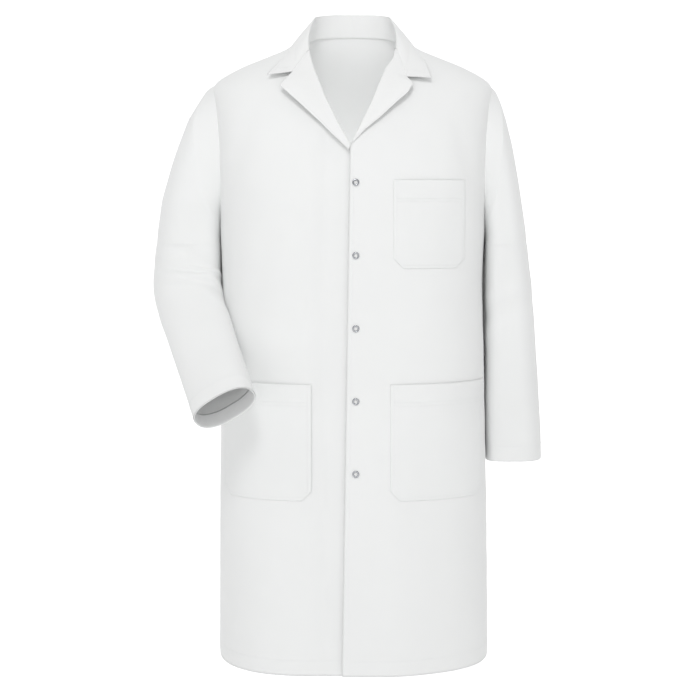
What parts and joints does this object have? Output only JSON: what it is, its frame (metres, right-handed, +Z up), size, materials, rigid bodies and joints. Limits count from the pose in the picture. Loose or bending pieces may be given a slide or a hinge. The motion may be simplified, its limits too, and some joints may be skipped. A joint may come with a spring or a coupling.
{
  "type": "lab coat",
  "caption": "Long white lab coat with notched lapels, ring-snap front, chest pocket, lower patch pockets and long sleeves, the right forearm bent forward.",
  "frame": {"origin": "the point midway between the neck ends of the shoulders, where a hanger holds the coat", "axes": "+X towards the wearer's left, -Y out of the coat's front, +Z up"},
  "size_m": [0.659, 0.441, 1.0807],
  "materials": {
    "twill": "fine white twill",
    "snap_metal": "polished nickel"
  },
  "bodies": {
    "torso": {"back_panel": "twill", "left_front_panel": "twill", "right_front_panel": "twill", "left_lapel": "twill", "right_lapel": "twill", "upper_collar": "twill", "under_collar": "twill", "collar_stand": "twill", "chest_pocket": "twill", "left_lower_pocket": "twill", "right_lower_pocket": "twill", "left_sleeve_head": "twill", "right_sleeve_head": "twill"},
    "left_front": {"left_placket": "twill", "left_front_facing": "twill", "snap_prong_rings": "snap_metal", "snap_sockets": "snap_metal"},
    "right_front": {"right_placket": "twill", "right_front_facing": "twill", "snap_studs": "snap_metal", "snap_back_rings": "snap_metal"},
    "left_upper_arm": {"left_upper_sleeve": "twill"},
    "left_forearm": {"left_forearm_sleeve": "twill", "left_cuff_hem": "twill"},
    "right_upper_arm": {"right_upper_sleeve": "twill"},
    "right_forearm": {"right_forearm_sleeve": "twill", "right_cuff_hem": "twill"}
  },
  "joints": [
    {"name": "left_front_opening", "type": "hinge", "parent": "torso", "child": "left_front", "pos_m": [0.056, -0.189, -1.02], "axis": [0, 0.0512, 0.9987], "range_deg": [0, 60]},
    {"name": "right_front_opening", "type": "hinge", "parent": "torso", "child": "right_front", "pos_m": [-0.056, -0.189, -1.02], "axis": [0, -0.0512, -0.9987], "range_deg": [0, 18]},
    {"name": "left_shoulder", "type": "hinge", "parent": "torso", "child": "left_upper_arm", "pos_m": [0.222, 0.008, -0.19], "axis": [0, -1, 0], "range_deg": [0, 45]},
    {"name": "left_elbow", "type": "hinge", "parent": "left_upper_arm", "child": "left_forearm", "pos_m": [0.264, -0.056, -0.4], "axis": [-1, 0, 0], "range_deg": [0, 80]},
    {"name": "right_shoulder", "type": "hinge", "parent": "torso", "child": "right_upper_arm", "pos_m": [-0.222, 0.008, -0.19], "axis": [0, 1, 0], "range_deg": [0, 40]},
    {"name": "right_elbow", "type": "hinge", "parent": "right_upper_arm", "child": "right_forearm", "pos_m": [-0.25979, -0.0869, -0.38361], "axis": [-0.8495, -0.5142, 0.1183], "range_deg": [-20, 50]}
  ],
  "couplings": [
    {"joint": "right_front_opening", "follows": "left_front_opening", "ratio": 0.3}
  ]
}
